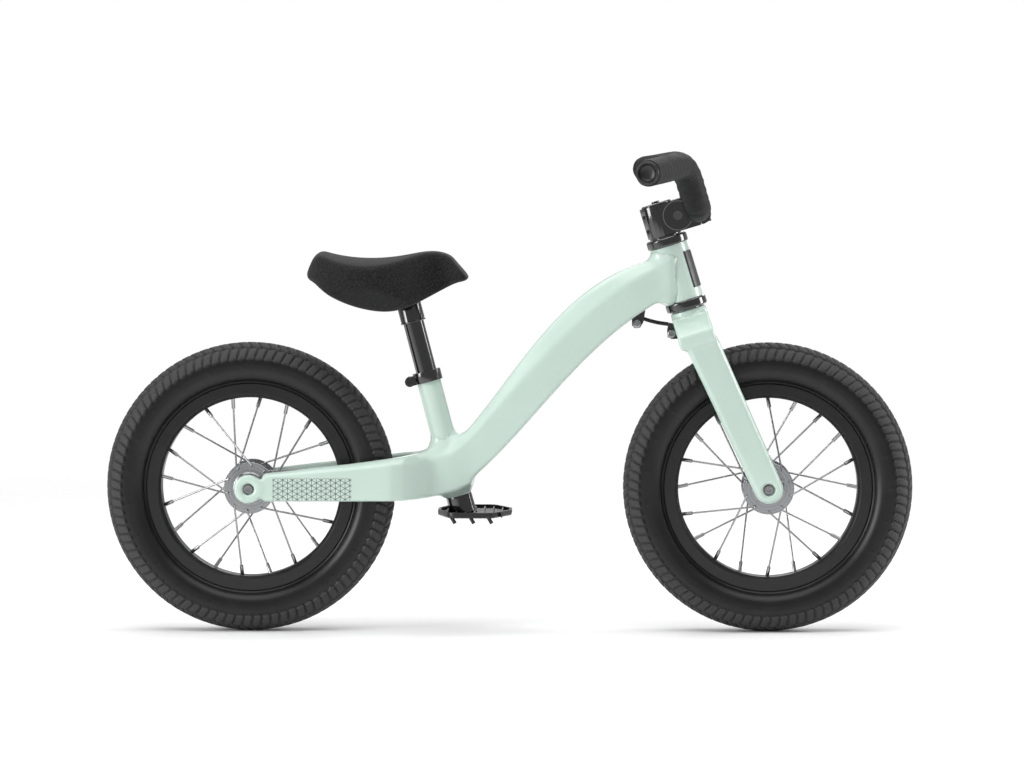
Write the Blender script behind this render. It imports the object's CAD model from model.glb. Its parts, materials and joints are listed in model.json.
import json
import math

import bpy
import numpy as np
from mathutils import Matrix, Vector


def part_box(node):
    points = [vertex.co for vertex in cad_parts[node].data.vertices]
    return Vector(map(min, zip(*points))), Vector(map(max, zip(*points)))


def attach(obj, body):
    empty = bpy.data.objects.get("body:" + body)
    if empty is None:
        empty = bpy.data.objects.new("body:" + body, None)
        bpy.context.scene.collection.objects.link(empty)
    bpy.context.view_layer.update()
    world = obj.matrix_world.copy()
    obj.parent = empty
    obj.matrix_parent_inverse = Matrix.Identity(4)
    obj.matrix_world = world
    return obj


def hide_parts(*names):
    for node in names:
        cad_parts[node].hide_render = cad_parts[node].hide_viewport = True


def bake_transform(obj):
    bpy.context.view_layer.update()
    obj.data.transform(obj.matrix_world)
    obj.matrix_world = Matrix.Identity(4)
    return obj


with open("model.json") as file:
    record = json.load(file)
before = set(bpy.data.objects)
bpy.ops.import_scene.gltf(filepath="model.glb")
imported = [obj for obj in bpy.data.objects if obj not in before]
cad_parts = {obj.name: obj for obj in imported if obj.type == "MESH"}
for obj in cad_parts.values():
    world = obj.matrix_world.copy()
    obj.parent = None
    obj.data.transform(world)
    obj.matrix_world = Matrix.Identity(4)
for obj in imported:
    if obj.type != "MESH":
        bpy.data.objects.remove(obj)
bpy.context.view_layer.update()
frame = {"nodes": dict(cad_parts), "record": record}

import openvdb
from mathutils import Matrix, Vector

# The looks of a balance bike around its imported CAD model. Metres, in the model's own frame.

nodes = frame["nodes"]
joints = {joint["name"]: joint for joint in frame["record"]["behaviour"]["joints"]}
MM = 0.001

# ---------------------------------------------------------------- mesh helpers

CREASE = math.radians(50)      # a sharper turn than this between faces is an edge


def new_piece(name, points, faces):
    """A smooth-shaded mesh object from points and faces, with creases where it turns sharply."""
    mesh = bpy.data.meshes.new(name)
    mesh.from_pydata([tuple(p) for p in points], [], [tuple(f) for f in faces])
    mesh.validate()
    mesh.shade_smooth()
    mesh.set_sharp_from_angle(angle=CREASE)
    piece = bpy.data.objects.new(name, mesh)
    bpy.context.scene.collection.objects.link(piece)
    return piece


def node_mesh(name):
    """A CAD node's corners and triangles as arrays."""
    mesh = nodes[name].data
    mesh.calc_loop_triangles()
    points = np.empty(3 * len(mesh.vertices), np.float32)
    mesh.vertices.foreach_get("co", points)
    triangles = np.empty(3 * len(mesh.loop_triangles), np.int32)
    mesh.loop_triangles.foreach_get("vertices", triangles)
    return points.reshape(-1, 3), triangles.reshape(-1, 3).astype(np.uint32)


def grid_faces(rows, columns, closed_rows, closed_columns):
    """Quads over a grid of points, joined up at the end in either direction."""
    faces = []
    for row in range(rows if closed_rows else rows - 1):
        for column in range(columns if closed_columns else columns - 1):
            below = (row + 1) % rows
            right = (column + 1) % columns
            faces.append((row * columns + column, below * columns + column,
                          below * columns + right, row * columns + right))
    return faces


# ---------------------------------------------------------------- welded skins

BAND = 12        # how many voxels each distance field reaches
MARGIN = 8       # empty voxels round a skin


def distance_fields(names, voxel):
    """Each node's signed distance on one shared grid, in metres, and the grid's first cell."""
    low = np.min([np.array(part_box(name)[0]) for name in names], axis=0)
    high = np.max([np.array(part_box(name)[1]) for name in names], axis=0)
    first = np.floor(low / voxel).astype(int) - MARGIN
    size = np.ceil(high / voxel).astype(int) + MARGIN - first
    fields = []
    for name in names:
        points, triangles = node_mesh(name)
        grid = openvdb.FloatGrid.createLevelSetFromPolygons(
            points, triangles=triangles,
            transform=openvdb.createLinearTransform(voxelSize=voxel), halfWidth=BAND)
        field = np.empty(tuple(size), np.float32)
        grid.copyToArray(field, ijk=tuple(int(v) for v in first))
        fields.append(field)
    return fields, first


def smooth_union(first, second, reach):
    """The union of two distance fields, with a concave fillet where they meet."""
    share = np.clip(0.5 + 0.5 * (second - first) / reach, 0, 1)
    return second * (1 - share) + first * share - reach * share * (1 - share)


def blurred(field, spread):
    """A field averaged with its neighbours by a bell curve, spread in voxels."""
    reach = int(math.ceil(2.5 * spread))
    weights = np.exp(-0.5 * (np.arange(-reach, reach + 1) / spread) ** 2)
    weights /= weights.sum()
    for axis in range(3):
        total = np.zeros_like(field)
        for step, weight in zip(range(-reach, reach + 1), weights):
            total += weight * np.roll(field, step, axis)
        field = total.astype(np.float32)
    return field


def skin(name, field, first, voxel):
    """The surface of a distance field as a piece."""
    grid = openvdb.FloatGrid(BAND * voxel)
    grid.copyFromArray(np.ascontiguousarray(field), ijk=tuple(int(v) for v in first))
    grid.transform = openvdb.createLinearTransform(voxelSize=voxel)
    points, quads = grid.convertToQuads(0.0)
    corners = points[quads.astype(int)]
    normals = np.cross(corners[:, 2] - corners[:, 0], corners[:, 3] - corners[:, 1])
    if np.einsum("ij,ij->", corners.mean(axis=1), normals) < 0:
        quads = quads[:, ::-1]
    return new_piece(name, points, quads)


def cylinder_field(shape, first, voxel, start, end, radius):
    """Distance to a solid round bar from one point to another, on the same grid."""
    cells = [(first[axis] + np.arange(shape[axis])) * voxel for axis in range(3)]
    x, y, z = np.meshgrid(*cells, indexing="ij", sparse=True)
    along = Vector(end) - Vector(start)
    length = along.length
    along.normalize()
    dx, dy, dz = x - start[0], y - start[1], z - start[2]
    reach = dx * along.x + dy * along.y + dz * along.z
    across = np.sqrt(np.maximum(dx * dx + dy * dy + dz * dz - reach * reach, 0)) - radius
    past = np.abs(reach - length / 2) - length / 2
    outside = np.sqrt(np.maximum(across, 0) ** 2 + np.maximum(past, 0) ** 2)
    return (outside + np.minimum(np.maximum(across, past), 0)).astype(np.float32)


FRAME_VOXEL = 1.5 * MM
FRAME_BLUR = 1.3                # voxels
FRAME_NODES = ["main_beam", "right_chainstay", "left_chainstay"]
HEAD_REACH = 12 * MM            # how far each fillet reaches
SEAT_REACH = 18 * MM
STAY_REACH = 3 * MM
HEAD_TUBE_RADIUS = 20.0 * MM
HEAD_TUBE_HALF = 0.0299
SEAT_TUBE_RADIUS = 12.7 * MM
SEAT_TUBE_TOP = (-0.0875, 0, 0.2733)
SEAT_TUBE_REACH = (0.131, 0.001)    # how far below its top the solid bar starts and ends
UNDER_TUBE = 0.25 * MM          # the weld's edge lies this far under the tube's own surface

steer = Vector(joints["steering"]["axis"])
head_middle = Vector(joints["steering"]["pos_m"])
rise = Vector(joints["seat_height"]["axis"])
head_ends = (head_middle - HEAD_TUBE_HALF * steer, head_middle + HEAD_TUBE_HALF * steer)
seat_ends = tuple(Vector(SEAT_TUBE_TOP) - below * rise for below in SEAT_TUBE_REACH)
tubes = [(head_ends, HEAD_TUBE_RADIUS, HEAD_REACH), (seat_ends, SEAT_TUBE_RADIUS, SEAT_REACH)]

fields, first_cell = distance_fields(FRAME_NODES, FRAME_VOXEL)
beam, right_stay, left_stay = fields
welded = beam
for ends, radius, reach in tubes:
    bar = cylinder_field(beam.shape, first_cell, FRAME_VOXEL, *ends, radius)
    welded = smooth_union(welded, bar, reach)
for stay in (right_stay, left_stay):
    welded = smooth_union(welded, stay, STAY_REACH)
welded = blurred(welded, FRAME_BLUR)
# the CAD head and seat tubes stay in view, so their places are cut out of the skin
for ends, radius, _ in tubes:
    longer = (ends[1] - ends[0]) * 0.5
    room = cylinder_field(beam.shape, first_cell, FRAME_VOXEL, ends[0] - longer * 0.2,
                          ends[1] + longer, radius - UNDER_TUBE)
    welded = np.maximum(welded, -room)
frame_skin = skin("frame_skin", welded, first_cell, FRAME_VOXEL)
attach(frame_skin, "frame")
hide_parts(*FRAME_NODES)

FORK_VOXEL = 1.15 * MM
FORK_BLUR = 1.2
LEG_REACH = 5 * MM
FORK_NODES = ["fork_crown", "right_fork_leg", "left_fork_leg"]
fields, first_cell = distance_fields(FORK_NODES, FORK_VOXEL)
welded = smooth_union(smooth_union(fields[0], fields[1], LEG_REACH), fields[2], LEG_REACH)
fork_skin = skin("fork_skin", blurred(welded, FORK_BLUR), first_cell, FORK_VOXEL)
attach(fork_skin, "fork")
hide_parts(*FORK_NODES)

SADDLE_VOXEL = 1.3 * MM
SADDLE_BLUR = 2.2
SADDLE_REACH = 6 * MM
SADDLE_SWELL = 0.6 * MM          # makes up for what the blur takes off
SADDLE_NODES = ["saddle_cushion", "saddle_base"]
fields, first_cell = distance_fields(SADDLE_NODES, SADDLE_VOXEL)
welded = smooth_union(fields[0], fields[1], SADDLE_REACH)
saddle_pad = skin("saddle_pad", blurred(welded, SADDLE_BLUR) - SADDLE_SWELL, first_cell,
                  SADDLE_VOXEL)
# the top falls away to both sides
SADDLE_SPLIT = 0.378             # the height where the fall starts, and how high it takes to build
SADDLE_BLEND = 0.02
CROWN_DROP = 8 * MM
saddle_half_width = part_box("saddle_cushion")[1][1]
for vertex in saddle_pad.data.vertices:
    share = min(1.0, max(0.0, (vertex.co.z - SADDLE_SPLIT) / SADDLE_BLEND))
    vertex.co.z -= CROWN_DROP * share * (vertex.co.y / saddle_half_width) ** 2
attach(saddle_pad, "seat")
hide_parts(*SADDLE_NODES)

# ---------------------------------------------------------------- tyres

BLOCKS = 92                    # tread blocks round the tyre
STEPS_PER_BLOCK = 10
BLOCK_HEIGHT = 2.1 * MM
TREAD_EDGE = 74.0              # degrees round the section from the crown
ZIGZAG = 38.0
SECTION_END = 146.0
TYRE_HALF_HEIGHT = 23.25 * MM
WALL_RIBS = ((133, 3.5, 0.5 * MM), (103, 2.0, 0.3 * MM))    # place and width in degrees, height
NUB_EVERY = 4                  # blocks from one moulding nub to the next
NUB_PLACE = 93
NUB_HEIGHT = 0.6 * MM
BEAD_RADIUS = 0.104
BEAD_SIDE = 0.0135


def ramp(value, low, high):
    """0 below low, 1 above high, and a smooth rise between."""
    share = np.clip((value - low) / (high - low), 0, 1)
    return share * share * (3 - 2 * share)


def groove(turns, width):
    """1 on the blocks and 0 in a groove of a width, both as shares of one block."""
    place = np.abs((turns % 1.0) - 0.5)
    return 1 - ramp(place, 0.5 - width / 2 - 0.05, 0.5 - width / 2 + 0.05)


def tread(angle, turns):
    """How high the tread stands, 0 to 1, at an angle from the crown and a number of blocks round."""
    side = np.abs(angle)
    shoulder = groove(turns - 0.4 * (side - ZIGZAG) / (TREAD_EDGE - ZIGZAG), 0.22)
    crown = groove(turns + 0.5 + 0.9 * side / ZIGZAG, 0.2)
    sway = 2.6 * (np.abs((turns % 1.0) - 0.5) * 4 - 1)
    split = ramp(np.abs(side - ZIGZAG - sway), 1.8, 3.8)
    blocks = np.where(side > ZIGZAG + sway, shoulder, crown)
    end = 1 - ramp(side, TREAD_EDGE - 2.0 + sway * 0.7, TREAD_EDGE + 1.5 + sway * 0.7)
    return blocks * split * end


def tyre(name, wheel):
    """A tyre with a block tread, in place of a wheel's plain one."""
    low, high = (np.array(corner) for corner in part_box(f"{wheel}_tyre"))
    centre = (low + high) / 2
    radius = (high[0] - low[0]) / 2
    half_width = (high[1] - low[1]) / 2
    middle = radius - TYRE_HALF_HEIGHT
    angles = np.concatenate([
        np.linspace(-SECTION_END, -TREAD_EDGE - 5, 14)[:-1],
        np.linspace(-TREAD_EDGE - 5, TREAD_EDGE + 5, 55),
        np.linspace(TREAD_EDGE + 5, SECTION_END, 14)[1:],
    ])
    count = BLOCKS * STEPS_PER_BLOCK
    turns = np.arange(count) / STEPS_PER_BLOCK
    angle, turn = np.meshgrid(angles, turns)
    height = BLOCK_HEIGHT * tread(angle, turn)
    side = np.abs(angle)
    # a rib near the bead, a fine rib on the wall, and small moulding nubs
    for place, width, depth in WALL_RIBS:
        height += depth * np.exp(-((side - place) / width) ** 2)
    from_nub = (turn + NUB_EVERY / 2) % NUB_EVERY - NUB_EVERY / 2
    nub = np.exp(-(from_nub / 0.13) ** 2) * np.exp(-((side - NUB_PLACE) / 2.2) ** 2)
    height += NUB_HEIGHT * nub
    inset = BLOCK_HEIGHT * (1 - ramp(side, 95, 125) * 0.7)
    across = (half_width - inset + height) * np.sin(np.radians(angle))
    out = middle + (TYRE_HALF_HEIGHT - inset + height) * np.cos(np.radians(angle))
    # the beads, tucked inside the rim
    edge = np.ones((count, 1))
    across = np.hstack([-BEAD_SIDE * edge, across, BEAD_SIDE * edge])
    out = np.hstack([BEAD_RADIUS * edge, out, BEAD_RADIUS * edge])
    round_angle = 2 * math.pi * turns[:, None] / BLOCKS
    points = np.stack([
        centre[0] + out * np.cos(round_angle),
        centre[1] + across,
        centre[2] + out * np.sin(round_angle),
    ], axis=-1)
    rows, columns = out.shape
    piece = new_piece(name, points.reshape(-1, 3), grid_faces(rows, columns, True, True))
    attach(piece, f"{wheel}_wheel")
    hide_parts(f"{wheel}_tyre")
    return piece


WHEELS = ("rear", "front")
tyres = [tyre(f"{wheel}_tyre_tread", wheel) for wheel in WHEELS]

# ---------------------------------------------------------------- the rear wheel's spokes

SPOKE_TURN = 42.0              # degrees from the front wheel's spokes to the rear wheel's


def rear_lacing(part):
    """One piece of the rear wheel's lacing: the front wheel's, turned about the axle."""
    front = Vector(joints["front_wheel_spin"]["pos_m"])
    rear = Vector(joints["rear_wheel_spin"]["pos_m"])
    mesh = nodes[f"front_{part}"].data.copy()
    turn = Matrix.Translation(rear) @ Matrix.Rotation(math.radians(SPOKE_TURN), 4, "Y")
    mesh.transform(turn @ Matrix.Translation(-front))
    piece = bpy.data.objects.new(f"rear_{part}_laced", mesh)
    bpy.context.scene.collection.objects.link(piece)
    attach(piece, "rear_wheel")
    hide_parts(f"rear_{part}")
    return piece


lacing = [rear_lacing(part) for part in ("spokes", "spoke_nipples")]

# ---------------------------------------------------------------- bar tape

BAR_RISE = Vector((0.187, -0.074, 0.501))
BAR_END = Vector((0.146, -0.200, 0.493))
BAR_STRAIGHT = 0.046
BAR_BEND_RADIUS = 0.042
TAPE_START = 0.023
TAPE_INNER_RADIUS = 11.3 * MM
TAPE_RADIUS = 14.1 * MM
TAPE_PITCH = 11.0 * MM
TAPE_LAP = 0.75 * MM
TAPE_SPACING = 0.9 * MM
TAPE_AROUND = 48
TAPE_WAVER = 0.12 * MM          # unevenness in the winding
TAPE_TAPER = 1.5 * MM
BEND_STEPS = 24


def bent_line(points, bend_radius, spacing):
    """Evenly spaced points along straight runs joined by arcs."""
    line = [points[0]]
    for before, corner, after in zip(points, points[1:], points[2:]):
        inward = (before - corner).normalized()
        onward = (after - corner).normalized()
        half = inward.angle(onward) / 2
        reach = bend_radius / math.tan(half)
        centre = corner + (inward + onward).normalized() * (bend_radius / math.sin(half))
        start = corner + inward * reach - centre
        end = corner + onward * reach - centre
        for step in range(BEND_STEPS + 1):
            share = step / BEND_STEPS
            line.append(centre + start.lerp(end, share).normalized() * bend_radius)
    line.append(points[-1])
    lengths = np.concatenate([[0], np.cumsum([(b - a).length for a, b in zip(line, line[1:])])])
    places = np.arange(0, lengths[-1], spacing)
    coordinates = np.array([tuple(p) for p in line])
    return np.stack([np.interp(places, lengths, coordinates[:, k]) for k in range(3)], axis=-1)


def wound_tape(name, side, node):
    """Cushioned tape wound along one half of the bar, each turn lapped over the last."""
    clamp = Vector(joints["handlebar_tilt"]["pos_m"])
    corners = [clamp, clamp + Vector((0, -BAR_STRAIGHT, 0)), BAR_RISE, BAR_END]
    line = bent_line(corners, BAR_BEND_RADIUS, TAPE_SPACING)
    line = line[line[:, 1] < -TAPE_START]
    along = np.gradient(line, axis=0)
    along /= np.linalg.norm(along, axis=1)[:, None]
    sideways = np.cross(along, (0.0, 0.0, 1.0))
    sideways /= np.linalg.norm(sideways, axis=1)[:, None]
    upward = np.cross(sideways, along)
    angle = 2 * np.pi * np.arange(TAPE_AROUND) / TAPE_AROUND
    step = np.linalg.norm(np.diff(line, axis=0, prepend=line[:1]), axis=1).cumsum()
    turn = step[:, None] / TAPE_PITCH + angle[None, :] / (2 * np.pi)
    lap = turn % 1.0
    radius = TAPE_RADIUS - TAPE_LAP * (lap - ramp(lap, 0.84, 1.0))
    radius += TAPE_WAVER * np.sin(7 * turn + 3 * np.sin(2.3 * angle)[None, :])
    taper = ramp(step, 0.0, TAPE_TAPER)[:, None]
    closing = ramp(step[-1] - step, 0.0, TAPE_TAPER)[:, None]
    radius = TAPE_INNER_RADIUS + (radius - TAPE_INNER_RADIUS) * np.minimum(taper, closing)
    points = (line[:, None, :] + radius[..., None] * (
        np.cos(angle)[None, :, None] * sideways[:, None, :]
        + np.sin(angle)[None, :, None] * upward[:, None, :]))
    points[..., 1] *= side
    faces = grid_faces(points.shape[0], TAPE_AROUND, False, True)
    if side < 0:
        faces = [face[::-1] for face in faces]
    piece = new_piece(name, points.reshape(-1, 3), faces)
    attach(piece, "handlebar")
    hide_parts(node)
    return piece


tapes = [wound_tape("right_tape_winding", 1, "right_bar_tape"),
         wound_tape("left_tape_winding", -1, "left_bar_tape")]

# ---------------------------------------------------------------- the limiter's rubber link

STRAP_THICKNESS = 2.1 * MM
STRAP_SAG = 0.8 * MM
STRAP_WAIST = 0.18             # the share of its width that it loses in the middle
STRAP_ROWS, STRAP_AROUND = 28, 24


def rubber_link():
    """The steering limiter's strap, which bends and twists between the frame and the fork."""
    low, high = (Vector(corner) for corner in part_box("limiter_link"))
    points, _ = node_mesh("limiter_link")
    front = points[points[:, 0] > high.x - 1 * MM].mean(axis=0)
    back = points[points[:, 0] < low.x + 1 * MM].mean(axis=0)
    start = Vector((float(back[0]), 0, float(back[2])))
    end = Vector((float(front[0]), 0, float(front[2])))
    run = (end - start).normalized()
    normal = Vector((-run.z, 0, run.x))
    half_width = (high.y - low.y) / 2
    points = []
    for row in range(STRAP_ROWS):
        share = row / (STRAP_ROWS - 1)
        middle = start.lerp(end, share) - normal * STRAP_SAG * math.sin(math.pi * share)
        waist = 1 - STRAP_WAIST * math.sin(math.pi * share)
        for step in range(STRAP_AROUND):
            turn = 2 * math.pi * step / STRAP_AROUND
            x, y = math.cos(turn), math.sin(turn)
            squarer = 1 / max(abs(x), abs(y)) * 0.35 + 0.65
            points.append(middle + normal * (STRAP_THICKNESS * y * squarer)
                          + Vector((0, half_width * waist * min(1, squarer) * x, 0)))
    faces = grid_faces(STRAP_ROWS, STRAP_AROUND, False, True)
    faces.append(tuple(range(STRAP_AROUND)))
    last = (STRAP_ROWS - 1) * STRAP_AROUND
    faces.append(tuple(last + step for step in reversed(range(STRAP_AROUND))))
    piece = new_piece("limiter_strap", points, faces)
    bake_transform(piece)
    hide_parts("limiter_link")
    return piece


strap = rubber_link()

# ---------------------------------------------------------------- bar end plugs

# out from the plug's axis and out from the bar's end, in millimetres
PLUG_PROFILE = [
    (0.0, -3.6), (3.5, -3.5), (7.0, -2.6), (8.9, -1.0), (9.6, 0.6), (10.3, 1.5), (11.0, 1.7),
    (11.9, 1.3), (12.4, 0.3), (12.2, -0.9), (11.2, -1.6), (9.0, -2.4), (9.0, -14.0), (0.0, -14.0),
]
PLUG_AROUND = 64


def turned(points, profile, place, direction, around):
    """Adds a lathe-turned shape to a list of points: (radius, height) pairs in millimetres."""
    first = direction.orthogonal().normalized()
    second = direction.cross(first)
    for radius, height in profile:
        for step in range(around):
            turn = 2 * math.pi * step / around
            points.append(place + direction * height * MM
                          + (first * math.cos(turn) + second * math.sin(turn)) * radius * MM)


def bar_plugs():
    """The dished plugs in the ends of the bar."""
    points, faces = [], []
    for side in (1, -1):
        place = Vector((BAR_END.x, side * BAR_END.y, BAR_END.z))
        inner = Vector((BAR_RISE.x, side * BAR_RISE.y, BAR_RISE.z))
        base = len(points)
        turned(points, PLUG_PROFILE, place, (place - inner).normalized(), PLUG_AROUND)
        faces += [tuple(base + corner for corner in face[::-1])
                  for face in grid_faces(len(PLUG_PROFILE), PLUG_AROUND, False, True)]
    piece = new_piece("bar_plug_dishes", points, faces)
    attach(piece, "handlebar")
    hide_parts("bar_end_plugs")
    return piece


plugs = bar_plugs()

# ---------------------------------------------------------------- rounded edges on CAD parts

EDGE_ANGLE = math.radians(32)
WELD_DISTANCE = 0.01 * MM
# each part's rounding, in millimetres
ROUNDED = {
    "stem": 0.9, "stem_faceplate": 0.8, "stem_top_cap": 0.3, "seat_clamp_collar": 0.6,
    "footrest_plate": 0.9, "footrest_post": 0.8, "limiter_frame_bracket": 0.5,
    "limiter_fork_bracket": 0.5, "upper_headset_cup": 2.2, "lower_headset_cup": 2.2,
    "headset_spacer": 0.4, "saddle_collar": 0.4, "rear_rim": 0.5,
    "front_rim": 0.5, "rear_hub_shell": 0.5, "front_hub_shell": 0.5, "rear_lock_nuts": 0.4,
    "front_lock_nuts": 0.4, "rear_axle_bolts": 0.4, "front_axle_bolts": 0.4, "head_badge": 0.3,
    "limiter_frame_screw": 0.4, "limiter_fork_screw": 0.4, "seat_clamp_bolt": 0.3,
    "stem_bolts": 0.25, "stem_top_bolt": 0.4, "stem_side_caps": 0.2, "footrest_bolt": 0.4,
}
for name, width in ROUNDED.items():
    weld = nodes[name].modifiers.new("Weld", "WELD")
    weld.merge_threshold = WELD_DISTANCE
    bevel = nodes[name].modifiers.new("Bevel", "BEVEL")
    bevel.width = width * MM
    bevel.segments = 3
    bevel.limit_method = "ANGLE"
    bevel.angle_limit = EDGE_ANGLE
    bevel.harden_normals = True

# ---------------------------------------------------------------- materials


class Look:
    """A material made of nodes, with short calls for the ones used most."""

    def __init__(self, name, roughness, metallic=0.0, coat=0.0, coat_roughness=0.1, gloss=0.5):
        self.material = bpy.data.materials.new(name)
        self.material.use_nodes = True
        self.tree = self.material.node_tree
        self.shader = self.tree.nodes["Principled BSDF"]
        self.shader.inputs["Roughness"].default_value = roughness
        self.shader.inputs["Metallic"].default_value = metallic
        self.shader.inputs["Coat Weight"].default_value = coat
        self.shader.inputs["Coat Roughness"].default_value = coat_roughness
        self.shader.inputs["Specular IOR Level"].default_value = gloss
        self.place = self.node("ShaderNodeTexCoord").outputs["Object"]

    def node(self, kind, **settings):
        made = self.tree.nodes.new(kind)
        for setting, value in settings.items():
            setattr(made, setting, value)
        return made

    def link(self, source, target):
        self.tree.links.new(source, target)

    def math(self, operation, first, second=0.0):
        made = self.node("ShaderNodeMath", operation=operation)
        for socket, value in zip(made.inputs, (first, second)):
            if isinstance(value, (int, float)):
                socket.default_value = value
            else:
                self.link(value, socket)
        return made.outputs[0]

    def noise(self, scale, detail=3.0, roughness=0.55, stretch=None, place=None):
        made = self.node("ShaderNodeTexNoise")
        made.inputs["Scale"].default_value = scale
        made.inputs["Detail"].default_value = detail
        made.inputs["Roughness"].default_value = roughness
        place = place or self.place
        if stretch:
            mapping = self.node("ShaderNodeMapping")
            mapping.inputs["Scale"].default_value = stretch
            self.link(place, mapping.inputs["Vector"])
            place = mapping.outputs["Vector"]
        self.link(place, made.inputs["Vector"])
        return made.outputs["Fac"]

    def cells(self, scale):
        made = self.node("ShaderNodeTexVoronoi")
        made.inputs["Scale"].default_value = scale
        self.link(self.place, made.inputs["Vector"])
        return made.outputs["Distance"]

    def between(self, value, low, high, to_low=0.0, to_high=1.0):
        made = self.node("ShaderNodeMapRange")
        for socket, number in zip(("From Min", "From Max", "To Min", "To Max"),
                                  (low, high, to_low, to_high)):
            made.inputs[socket].default_value = number
        self.link(value, made.inputs["Value"])
        return made.outputs["Result"]

    def mix(self, share, first, second):
        made = self.node("ShaderNodeMix", data_type="RGBA")
        self.link(share, made.inputs["Factor"])
        for socket, value in ((made.inputs[6], first), (made.inputs[7], second)):
            if isinstance(value, tuple):
                socket.default_value = (*value, 1.0)
            else:
                self.link(value, socket)
        return made.outputs[2]

    def color(self, value):
        self.link(value, self.shader.inputs["Base Color"])

    def rough(self, value, low, high):
        self.link(self.between(value, 0.3, 0.7, low, high), self.shader.inputs["Roughness"])

    def bumps(self, *layers):
        """Bump layers, each a height from 0 to 1 and its depth in metres."""
        normal = None
        for height, depth in layers:
            made = self.node("ShaderNodeBump")
            made.inputs["Distance"].default_value = depth
            made.inputs["Strength"].default_value = 1.0
            self.link(height, made.inputs["Height"])
            if normal:
                self.link(normal, made.inputs["Normal"])
            normal = made.outputs["Normal"]
        self.link(normal, self.shader.inputs["Normal"])

    def parts(self):
        split = self.node("ShaderNodeSeparateXYZ")
        self.link(self.place, split.inputs[0])
        return split.outputs


def radius_from(look, centre):
    """How far a point is from an axis across the bike."""
    x, _, z = look.parts()
    dx, dz = look.math("SUBTRACT", x, centre[0]), look.math("SUBTRACT", z, centre[2])
    return look.math("SQRT", look.math("ADD", look.math("MULTIPLY", dx, dx),
                                       look.math("MULTIPLY", dz, dz)))


PAINT = (0.56, 0.70, 0.625)
BLACK = (0.005, 0.005, 0.0055)
SILVER = (0.42, 0.425, 0.44)
STEEL = (0.36, 0.36, 0.37)
TREAD_START = 0.1375           # the radius on the wheel where the tyre's tread starts
CAP_RING_RADIUS = 0.0155
INK = (0.045, 0.05, 0.052)
GRAPHIC_START, GRAPHIC_END = -0.252, -0.166     # along the bike
GRAPHIC_MIDDLE = 0.162
GRAPHIC_SIDE = 5.9 * MM
GRAPHIC_LINE = 0.55 * MM
GRAPHIC_TOP = 0.1675


def paint_look(name, with_graphic):
    """Satin-gloss pale green paint, with a plain lattice of triangles on the chainstays."""
    look = Look(name, 0.32, coat=0.55, coat_roughness=0.14)
    drift = look.noise(9.0, 2.0)
    base = look.mix(look.between(drift, 0.35, 0.65), PAINT, tuple(0.955 * c for c in PAINT))
    if with_graphic:
        x, y, z = look.parts()
        spacing = GRAPHIC_SIDE * math.sqrt(3) / 2
        lines = None
        centre = look.math("ADD", z, -GRAPHIC_MIDDLE)
        for turn in (0, 60, 120):
            angle = math.radians(turn)
            across = look.math("ADD", look.math("MULTIPLY", x, math.cos(angle)),
                               look.math("MULTIPLY", centre, math.sin(angle)))
            share = look.math("PINGPONG", look.math("DIVIDE", across, spacing), 0.5)
            width = GRAPHIC_LINE / spacing / 2
            line = look.between(share, width * 1.5, width * 0.6)
            lines = line if lines is None else look.math("MAXIMUM", lines, line)
        fade = look.math("MULTIPLY", look.between(x, GRAPHIC_START, GRAPHIC_START + 0.002),
                         look.between(x, GRAPHIC_END, GRAPHIC_END - 0.002))
        outer = look.between(look.math("ABSOLUTE", y), 0.0455, 0.0462)
        under = look.between(z, GRAPHIC_TOP, GRAPHIC_TOP - 0.001)
        inked = look.math("MULTIPLY", look.math("MULTIPLY", lines, fade),
                          look.math("MULTIPLY", outer, under))
        base = look.mix(inked, base, INK)
    look.color(base)
    look.rough(look.noise(30.0), 0.27, 0.37)
    look.bumps((look.noise(420.0, 1.0), 0.03 * MM), (look.noise(55.0, 1.0), 0.12 * MM))
    return look.material


def alloy_look(name, shade, low, high, metallic, coat, streaks):
    """Anodised or machined alloy, with fine streaks that run one way."""
    look = Look(name, (low + high) / 2, metallic, coat, gloss=0.65)
    streak = look.noise(120.0, 4.0, 0.6, stretch=streaks)
    look.color(look.mix(look.between(streak, 0.3, 0.7), tuple(0.85 * c for c in shade),
                        tuple(min(1.0, 1.15 * c) for c in shade)))
    look.rough(look.noise(40.0, 4.0), low, high)
    look.bumps((streak, 0.012 * MM))
    return look


def stem_look():
    """Gloss black with a thin grey ring round each side cap."""
    look = alloy_look("stem_look", BLACK, 0.10, 0.18, 0.0, 1.0, (1, 1, 8))
    low, high = (Vector(corner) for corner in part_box("stem_side_caps"))
    centre = (low + high) / 2
    radius = radius_from(look, centre)
    off_line = look.math("ABSOLUTE", look.math("SUBTRACT", radius, CAP_RING_RADIUS))
    ring = look.between(off_line, 0.0005, 0.0002)
    plain = look.shader.inputs["Base Color"].links[0].from_socket
    look.color(look.mix(ring, plain, (0.12, 0.12, 0.125)))
    return look


def turned_look(name, centre, shade, low, high, metallic):
    """Metal turned about a wheel's axle: fine rings round it."""
    look = Look(name, (low + high) / 2, metallic)
    radius = radius_from(look, centre)
    y = look.parts()[1]
    ring_place = look.node("ShaderNodeCombineXYZ")
    look.link(radius, ring_place.inputs[0])
    look.link(y, ring_place.inputs[1])
    rings = look.noise(900.0, 2.0, place=ring_place.outputs[0])
    look.color(look.mix(look.between(rings, 0.3, 0.7), tuple(0.8 * c for c in shade),
                        tuple(min(1.0, 1.2 * c) for c in shade)))
    look.rough(look.noise(60.0, 4.0), low, high)
    look.bumps((rings, 0.015 * MM))
    return look.material


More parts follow.
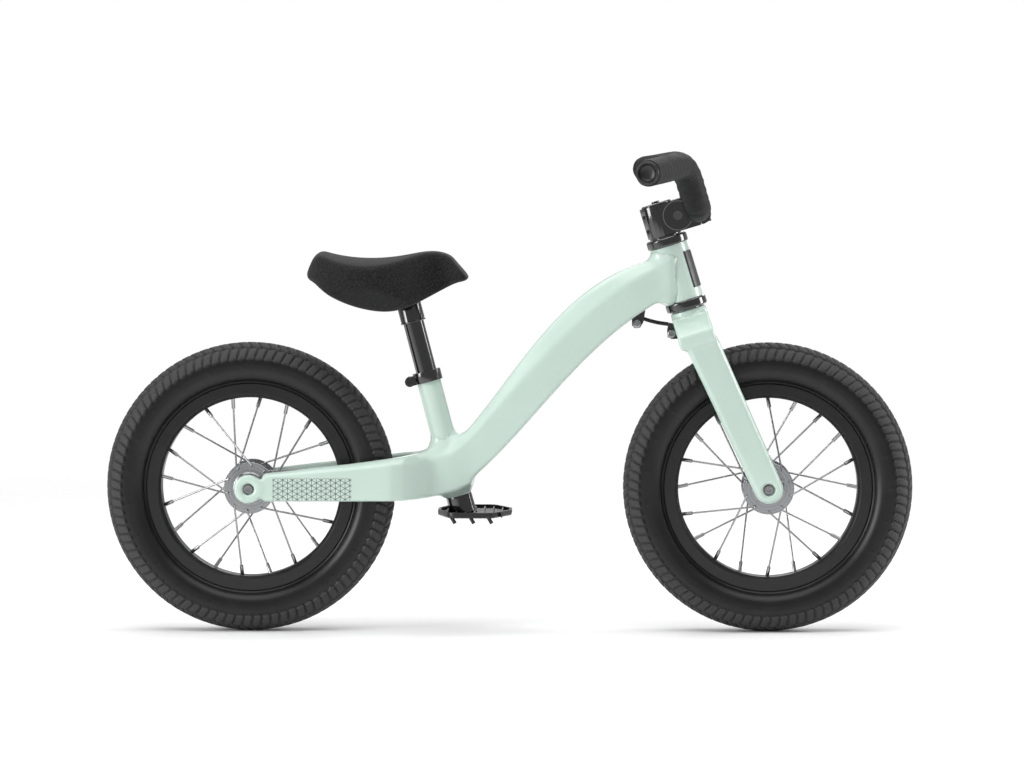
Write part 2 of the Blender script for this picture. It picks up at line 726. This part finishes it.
def rubber_look(name, shade, dust, low=0.62, high=0.86):
    """Moulded rubber with a fine grain and a little dust."""
    look = Look(name, (low + high) / 2, gloss=0.32)
    cloud = look.noise(28.0, 5.0, 0.65)
    grain = look.noise(1400.0, 2.0)
    base = look.mix(look.between(cloud, 0.45, 0.75), shade, dust)
    speck = look.between(grain, 0.62, 0.75, 0.0, 0.35)
    look.color(look.mix(speck, base, tuple(2.2 * c for c in shade)))
    look.rough(cloud, low, high)
    look.bumps((grain, 0.05 * MM), (look.noise(160.0, 3.0), 0.06 * MM))
    return look.material


def tyre_look(wheel):
    """Black tyre rubber: a smooth dark wall and a duller, dustier tread."""
    look = Look(f"{wheel}_tyre_look", 0.5, gloss=0.4)
    radius = radius_from(look, joints[f"{wheel}_wheel_spin"]["pos_m"])
    worn = look.between(radius, TREAD_START, TREAD_START + 0.0015)
    cloud = look.noise(35.0, 5.0, 0.65)
    grain = look.noise(1500.0, 2.0)
    wall = look.mix(look.between(cloud, 0.45, 0.75), (0.0045, 0.0045, 0.0048),
                    (0.009, 0.009, 0.009))
    top = look.mix(look.between(grain, 0.3, 0.7), (0.022, 0.022, 0.022), (0.048, 0.048, 0.047))
    look.color(look.mix(worn, wall, top))
    look.link(look.between(worn, 0.0, 1.0, 0.36, 0.68), look.shader.inputs["Roughness"])
    look.bumps((grain, 0.05 * MM), (look.noise(160.0, 3.0), 0.05 * MM))
    return look.material


def cover_look():
    """Charcoal saddle cover: a tight heathered cloth with pale and dark flecks."""
    look = Look("saddle_cover_look", 0.82, gloss=0.2)
    fleck = look.noise(560.0, 3.0, 0.8)
    thread = look.noise(2600.0, 1.0)
    base = look.mix(look.between(fleck, 0.45, 0.66), (0.003, 0.003, 0.0033), (0.034, 0.034, 0.036))
    look.color(look.mix(look.between(thread, 0.35, 0.7, 0.0, 0.5), base, (0.018, 0.018, 0.02)))
    look.shader.inputs["Sheen Weight"].default_value = 0.06
    look.shader.inputs["Sheen Roughness"].default_value = 0.5
    look.rough(fleck, 0.72, 0.92)
    look.bumps((fleck, 0.14 * MM), (look.cells(1500.0), 0.08 * MM))
    return look.material


def tape_look():
    """Cushioned bar tape: soft charcoal with fine pores and worn laps."""
    look = Look("bar_tape_look", 0.62, gloss=0.3)
    pores = look.cells(1300.0)
    worn = look.noise(70.0, 4.0)
    look.color(look.mix(look.between(worn, 0.4, 0.7), (0.006, 0.006, 0.0064), (0.014, 0.014, 0.015)))
    look.rough(worn, 0.52, 0.72)
    look.bumps((pores, 0.08 * MM), (look.noise(500.0, 2.0), 0.05 * MM))
    return look.material


def plastic_look(name, shade, low, high, grain_depth):
    """Moulded plastic with a fine spark-eroded grain."""
    look = Look(name, (low + high) / 2)
    grain = look.noise(1100.0, 2.0)
    look.color(look.mix(look.between(look.noise(20.0, 3.0), 0.35, 0.7), shade,
                        tuple(1.5 * c for c in shade)))
    look.rough(look.noise(90.0, 3.0), low, high)
    look.bumps((grain, grain_depth), (look.noise(60.0, 2.0), 0.05 * MM))
    return look.material


def wear(piece, material):
    """Gives a piece or a CAD node one material."""
    piece.data.materials.clear()
    piece.data.materials.append(material)


wear(frame_skin, paint_look("frame_paint_look", True))
wear(fork_skin, paint_look("fork_paint_look", False))
wear(saddle_pad, cover_look())
for piece, wheel in zip(tyres, WHEELS):
    wear(piece, tyre_look(wheel))
tape = tape_look()
for piece in tapes:
    wear(piece, tape)
wear(plugs, plastic_look("plug_look", (0.012, 0.012, 0.013), 0.28, 0.4, 0.02 * MM))
wear(strap, rubber_look("strap_look", (0.014, 0.014, 0.015), (0.02, 0.02, 0.02), 0.45, 0.6))

gloss_black = alloy_look("gloss_black_look", BLACK, 0.12, 0.2, 0.0, 1.0, (1, 1, 8)).material
post_black = alloy_look("post_black_look", BLACK, 0.08, 0.15, 0.0, 1.0, (9, 9, 1)).material
satin_silver = alloy_look("satin_silver_look", SILVER, 0.24, 0.38, 1.0, 0.0, (1, 1, 9)).material
bright_steel = alloy_look("bright_steel_look", STEEL, 0.18, 0.32, 1.0, 0.0, (1, 9, 1)).material
for piece in lacing:
    wear(piece, bright_steel)
cap_grey = plastic_look("cap_look", (0.05, 0.05, 0.053), 0.2, 0.3, 0.01 * MM)
fine_plastic = plastic_look("fine_plastic_look", (0.008, 0.008, 0.0085), 0.30, 0.46, 0.03 * MM)
badge_plastic = plastic_look("badge_look", (0.035, 0.036, 0.038), 0.32, 0.42, 0.02 * MM)
inner_rubber = rubber_look("inner_rubber_look", (0.014, 0.014, 0.014), (0.02, 0.02, 0.02))
bracket_paint = paint_look("bracket_paint_look", False)

LOOKS = {
    "black_alloy": gloss_black, "silver_alloy": satin_silver, "bright_steel": bright_steel,
    "tube_rubber": inner_rubber, "black_plastic": fine_plastic, "frame_paint": bracket_paint,
    "tyre_rubber": inner_rubber, "bar_tape": tape, "saddle_cover": inner_rubber,
}
SPECIAL = {
    "seatpost": post_black, "footrest_post": post_black, "saddle_collar": post_black,
    "head_badge": badge_plastic, "stem": stem_look().material, "stem_side_caps": cap_grey,
    "stem_bolts": gloss_black, "stem_top_bolt": gloss_black, "limiter_frame_bracket": gloss_black,
    "limiter_fork_bracket": gloss_black, "seat_clamp_bolt": gloss_black,
}
for wheel in WHEELS:
    centre = joints[f"{wheel}_wheel_spin"]["pos_m"]
    SPECIAL[f"{wheel}_rim"] = turned_look(f"{wheel}_rim_look", centre, (0.006, 0.006, 0.0065),
                                          0.28, 0.42, 0.0)
    SPECIAL[f"{wheel}_hub_shell"] = turned_look(f"{wheel}_hub_look", centre, (0.40, 0.405, 0.42),
                                                0.2, 0.34, 1.0)
for entry in frame["record"]["subparts"]:
    name = entry["node"]
    wear(nodes[name], SPECIAL.get(name, LOOKS[entry["material_slot"]]))

# ---------------------------------------------------------------- floor, light and camera

FLOOR_RINGS = (1.2, 2.0, 3.0, 4.5, 6.0)
FLOOR_AROUND = 64
FLOOR_FADE = (0.8, 2.3)        # from here to here the floor fades into the backdrop
floor_points = []
for ring in FLOOR_RINGS:
    for step in range(FLOOR_AROUND):
        turn = 2 * math.pi * step / FLOOR_AROUND
        floor_points.append((ring * math.cos(turn), ring * math.sin(turn), 0.0))
floor_faces = grid_faces(len(FLOOR_RINGS), FLOOR_AROUND, False, True)
floor_faces.append(tuple(range(FLOOR_AROUND)))
floor = new_piece("studio_floor", floor_points, floor_faces)

ground = Look("studio_floor_look", 0.85)
ground.color(ground.mix(ground.noise(3.0, 2.0), (0.93, 0.93, 0.93), (0.95, 0.95, 0.95)))
ground_x, ground_y, _ = ground.parts()
reach = ground.math("SQRT", ground.math("ADD", ground.math("MULTIPLY", ground_x, ground_x),
                                        ground.math("MULTIPLY", ground_y, ground_y)))
ground.link(ground.between(reach, *FLOOR_FADE, 1.0, 0.0), ground.shader.inputs["Alpha"])
wear(floor, ground.material)

bpy.context.scene.view_settings.view_transform = "Standard"
world = bpy.data.worlds.new("studio")
bpy.context.scene.world = world
world.use_nodes = True

# a white surround behind the bike, and a dimmer one that lights it
LIGHT_LEVEL = 0.36
backdrop = world.node_tree.nodes["Background"]
backdrop.inputs["Color"].default_value = (1.0, 1.0, 1.0, 1.0)
seen = world.node_tree.nodes.new("ShaderNodeLightPath").outputs["Is Camera Ray"]
level = world.node_tree.nodes.new("ShaderNodeMapRange")
level.inputs["To Min"].default_value = LIGHT_LEVEL
world.node_tree.links.new(seen, level.inputs["Value"])
world.node_tree.links.new(level.outputs["Result"], backdrop.inputs["Strength"])


def softbox(name, place, aim, width, height, power):
    """A rectangular lamp at a place, turned to face a point."""
    light = bpy.data.lights.new(name, "AREA")
    light.shape = "RECTANGLE"
    light.size = width
    light.size_y = height
    light.energy = power
    lamp = bpy.data.objects.new(name, light)
    bpy.context.scene.collection.objects.link(lamp)
    lamp.location = place
    lamp.rotation_euler = (Vector(aim) - Vector(place)).to_track_quat("-Z", "Y").to_euler()


softbox("overhead", (0.0, -0.3, 2.6), (0, 0, 0), 3.2, 3.2, 74)
softbox("left_panel", (-2.7, -1.25, 0.8), (0, 0, 0.3), 0.9, 2.0, 52)
softbox("right_panel", (3.0, 0.3, 0.8), (0, 0, 0.3), 0.9, 2.0, 52)
softbox("back", (0.5, 2.6, 1.4), (0, 0, 0.3), 1.8, 0.6, 14)

CAMERA_PLACE = (0.098, -5.0, 0.55)
CAMERA_AIM = (0.003, 0.0, 0.265)
CAMERA_LENS = 164.3            # millimetres, on a sensor 36 wide
camera_data = bpy.data.cameras.new("camera")
camera_data.lens = CAMERA_LENS
camera_data.sensor_width = 36.0
camera = bpy.data.objects.new("camera", camera_data)
bpy.context.scene.collection.objects.link(camera)
camera.location = CAMERA_PLACE
view_line = Vector(CAMERA_AIM) - Vector(CAMERA_PLACE)
camera.rotation_euler = view_line.to_track_quat("-Z", "Y").to_euler()
bpy.context.scene.camera = camera
